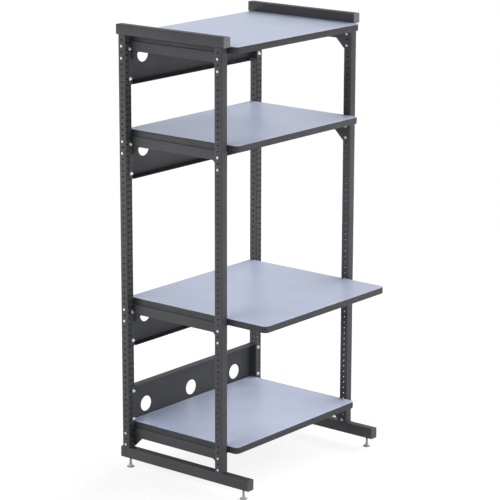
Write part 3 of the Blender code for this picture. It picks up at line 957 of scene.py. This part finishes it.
def make_foot(end, side):
    """A levelling foot: its pad, its stem, and the weld nut in the base rail."""
    pad_low, pad_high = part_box(f"foot_pad_{end}_{side}")
    stem_low, stem_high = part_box(f"foot_stem_{end}_{side}")
    centre = (stem_low + stem_high) / 2
    pad = pad_mesh((pad_high.x - pad_low.x) / 2, stem_low.z - pad_low.z)
    pad.transform(Matrix.Translation((centre.x, centre.y, pad_low.z)))
    pad_piece = to_object(f"foot_pad_{end}_{side}_turned", pad)
    dress(pad_piece, PAD_ZINC, f"foot_{end}_{side}", [f"foot_pad_{end}_{side}"])
    stem = stem_mesh(stem_high.z - stem_low.z)
    stem.transform(Matrix.Translation((centre.x, centre.y, stem_low.z)))
    stem_piece = to_object(f"foot_stem_{end}_{side}_threaded", stem)
    dress(stem_piece, STEM_ZINC, f"stem_{end}_{side}", [f"foot_stem_{end}_{side}"])
    nut_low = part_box(f"base_rail_{side}")[0].z + RAIL_WALL
    nut_high = nut_low + WELD_NUT_HEIGHT
    rim = WELD_NUT_DIAMETER / 2
    profile = [
        (PAD_SOCKET, nut_low),
        (rim, nut_low),
        (rim, nut_high - WELD_NUT_CHAMFER),
        (rim - WELD_NUT_CHAMFER, nut_high),
        (PAD_SOCKET, nut_high),
    ]
    nut = turned(profile, joined=True)
    nut.transform(Matrix.Translation((centre.x, centre.y, 0)))
    dress(to_object(f"weld_nut_{end}_{side}", nut), ZINC)


# Stage


def add_camera():
    """The photograph's view."""
    ahead = Vector(
        (
            math.sin(CAMERA_AZIMUTH) * math.cos(CAMERA_ELEVATION),
            math.cos(CAMERA_AZIMUTH) * math.cos(CAMERA_ELEVATION),
            -math.sin(CAMERA_ELEVATION),
        )
    )
    level = Vector((math.cos(CAMERA_AZIMUTH), -math.sin(CAMERA_AZIMUTH), 0))
    upright = level.cross(ahead)
    right = level * math.cos(CAMERA_ROLL) + upright * math.sin(CAMERA_ROLL)
    up = right.cross(ahead)
    turn = Matrix((right, up, -ahead)).transposed().to_4x4()
    data = bpy.data.cameras.new("camera")
    data.lens = CAMERA_LENS
    camera = bpy.data.objects.new("camera", data)
    camera.matrix_world = Matrix.Translation(CAMERA_AIM - ahead * CAMERA_DISTANCE) @ turn
    bpy.context.scene.collection.objects.link(camera)
    bpy.context.scene.camera = camera


def lamp_direction(heading, height):
    """The way in which light from this heading and height travels."""
    turn = math.radians(heading)
    rise = math.radians(height)
    return Vector((math.sin(turn) * math.cos(rise), math.cos(turn) * math.cos(rise), -math.sin(rise)))


def add_sun(name, heading, height, spread, strength):
    """A wide, distant lamp."""
    data = bpy.data.lights.new(name, "SUN")
    data.angle = math.radians(spread)
    data.energy = strength * math.pi
    lamp = bpy.data.objects.new(name, data)
    lamp.rotation_euler = lamp_direction(heading, height).to_track_quat("-Z", "Y").to_euler()
    bpy.context.scene.collection.objects.link(lamp)


def add_strip(name, heading, strength):
    """A long low lamp that stands on the floor and shines up under the shelves."""
    data = bpy.data.lights.new(name, "AREA")
    data.shape = "RECTANGLE"
    data.size = STRIP_LENGTH
    data.size_y = STRIP_HEIGHT
    lamp = bpy.data.objects.new(name, data)
    place = -STRIP_DISTANCE * lamp_direction(heading, 0)
    place.z = STRIP_CENTRE_Z
    ahead = STRIP_AIM - place
    data.energy = strength * math.pi**2 * ahead.length_squared  # watts for that share of white at the aim
    lamp.location = place
    lamp.rotation_euler = ahead.to_track_quat("-Z", "Y").to_euler()
    lamp.visible_camera = False
    bpy.context.scene.collection.objects.link(lamp)


def seen_directly(tree):
    """1 for camera, glossy and transmission rays, and 0 for the rays that light the object."""
    path = tree.nodes.new("ShaderNodeLightPath")
    total = path.outputs["Is Camera Ray"]
    for name in ("Is Glossy Ray", "Is Transmission Ray"):
        larger = tree.nodes.new("ShaderNodeMath")
        larger.operation = "MAXIMUM"
        tree.links.new(total, larger.inputs[0])
        tree.links.new(path.outputs[name], larger.inputs[1])
        total = larger.outputs[0]
    return total


def add_sky():
    """An even sky that lights the object softly and looks white."""
    world = bpy.data.worlds.new("studio")
    bpy.context.scene.world = world
    world.use_nodes = True
    tree = world.node_tree
    light = tree.nodes["Background"]
    light.inputs["Color"].default_value = (1, 1, 1, 1)
    light.inputs["Strength"].default_value = SKY
    white = tree.nodes.new("ShaderNodeBackground")
    white.inputs["Color"].default_value = (1, 1, 1, 1)
    white.inputs["Strength"].default_value = 1
    mix = tree.nodes.new("ShaderNodeMixShader")
    tree.links.new(seen_directly(tree), mix.inputs["Fac"])
    tree.links.new(light.outputs["Background"], mix.inputs[1])
    tree.links.new(white.outputs["Background"], mix.inputs[2])
    tree.links.new(mix.outputs["Shader"], tree.nodes["World Output"].inputs["Surface"])


def add_floor():
    """A pale floor that takes the object's shadow and is lifted to white where it is seen."""
    bm = bmesh.new()
    bmesh.ops.create_grid(bm, x_segments=1, y_segments=1, size=FLOOR_SIZE / 2)
    floor = to_object("floor", bm)
    material = bpy.data.materials.new("floor")
    material.use_nodes = True
    tree = material.node_tree
    tree.nodes.remove(tree.nodes["Principled BSDF"])
    matt = tree.nodes.new("ShaderNodeBsdfDiffuse")
    matt.inputs["Color"].default_value = (FLOOR_COLOUR, FLOOR_COLOUR, FLOOR_COLOUR, 1)
    shade = tree.nodes.new("ShaderNodeBsdfDiffuse")
    shade.inputs["Color"].default_value = (FLOOR_SEEN, FLOOR_SEEN, FLOOR_SEEN, 1)
    glow = tree.nodes.new("ShaderNodeEmission")
    glow.inputs["Strength"].default_value = FLOOR_LIFT
    seen = tree.nodes.new("ShaderNodeAddShader")
    tree.links.new(shade.outputs["BSDF"], seen.inputs[0])
    tree.links.new(glow.outputs["Emission"], seen.inputs[1])
    mix = tree.nodes.new("ShaderNodeMixShader")
    tree.links.new(seen_directly(tree), mix.inputs["Fac"])
    tree.links.new(matt.outputs["BSDF"], mix.inputs[1])
    tree.links.new(seen.outputs["Shader"], mix.inputs[2])
    tree.links.new(mix.outputs["Shader"], tree.nodes["Material Output"].inputs["Surface"])
    floor.data.materials.append(material)


for post_end in ENDS:
    for rack_side in SIDES:
        make_post(post_end, rack_side)
        make_foot(post_end, rack_side)
for rack_side in SIDES:
    make_rail("base", rack_side)
    make_rail("top", rack_side)
for shelf_name in SHELVES:
    make_shelf(shelf_name)
    make_panel(shelf_name)
    make_panel_screws(shelf_name)
    for rack_side in SIDES:
        make_bracket(shelf_name, rack_side)
        make_bracket_bolts(shelf_name, rack_side)
for plug_name, plug_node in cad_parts.items():
    if "_plug_" in plug_name:
        plug_node.data.materials.clear()
        plug_node.data.materials.append(PLUG)

bpy.context.scene.view_settings.view_transform = "Standard"
add_camera()
add_sky()
add_floor()
for lamp_name, lamp_values in SUNS.items():
    add_sun(lamp_name, **lamp_values)
for lamp_name, lamp_values in STRIPS.items():
    add_strip(lamp_name, **lamp_values)
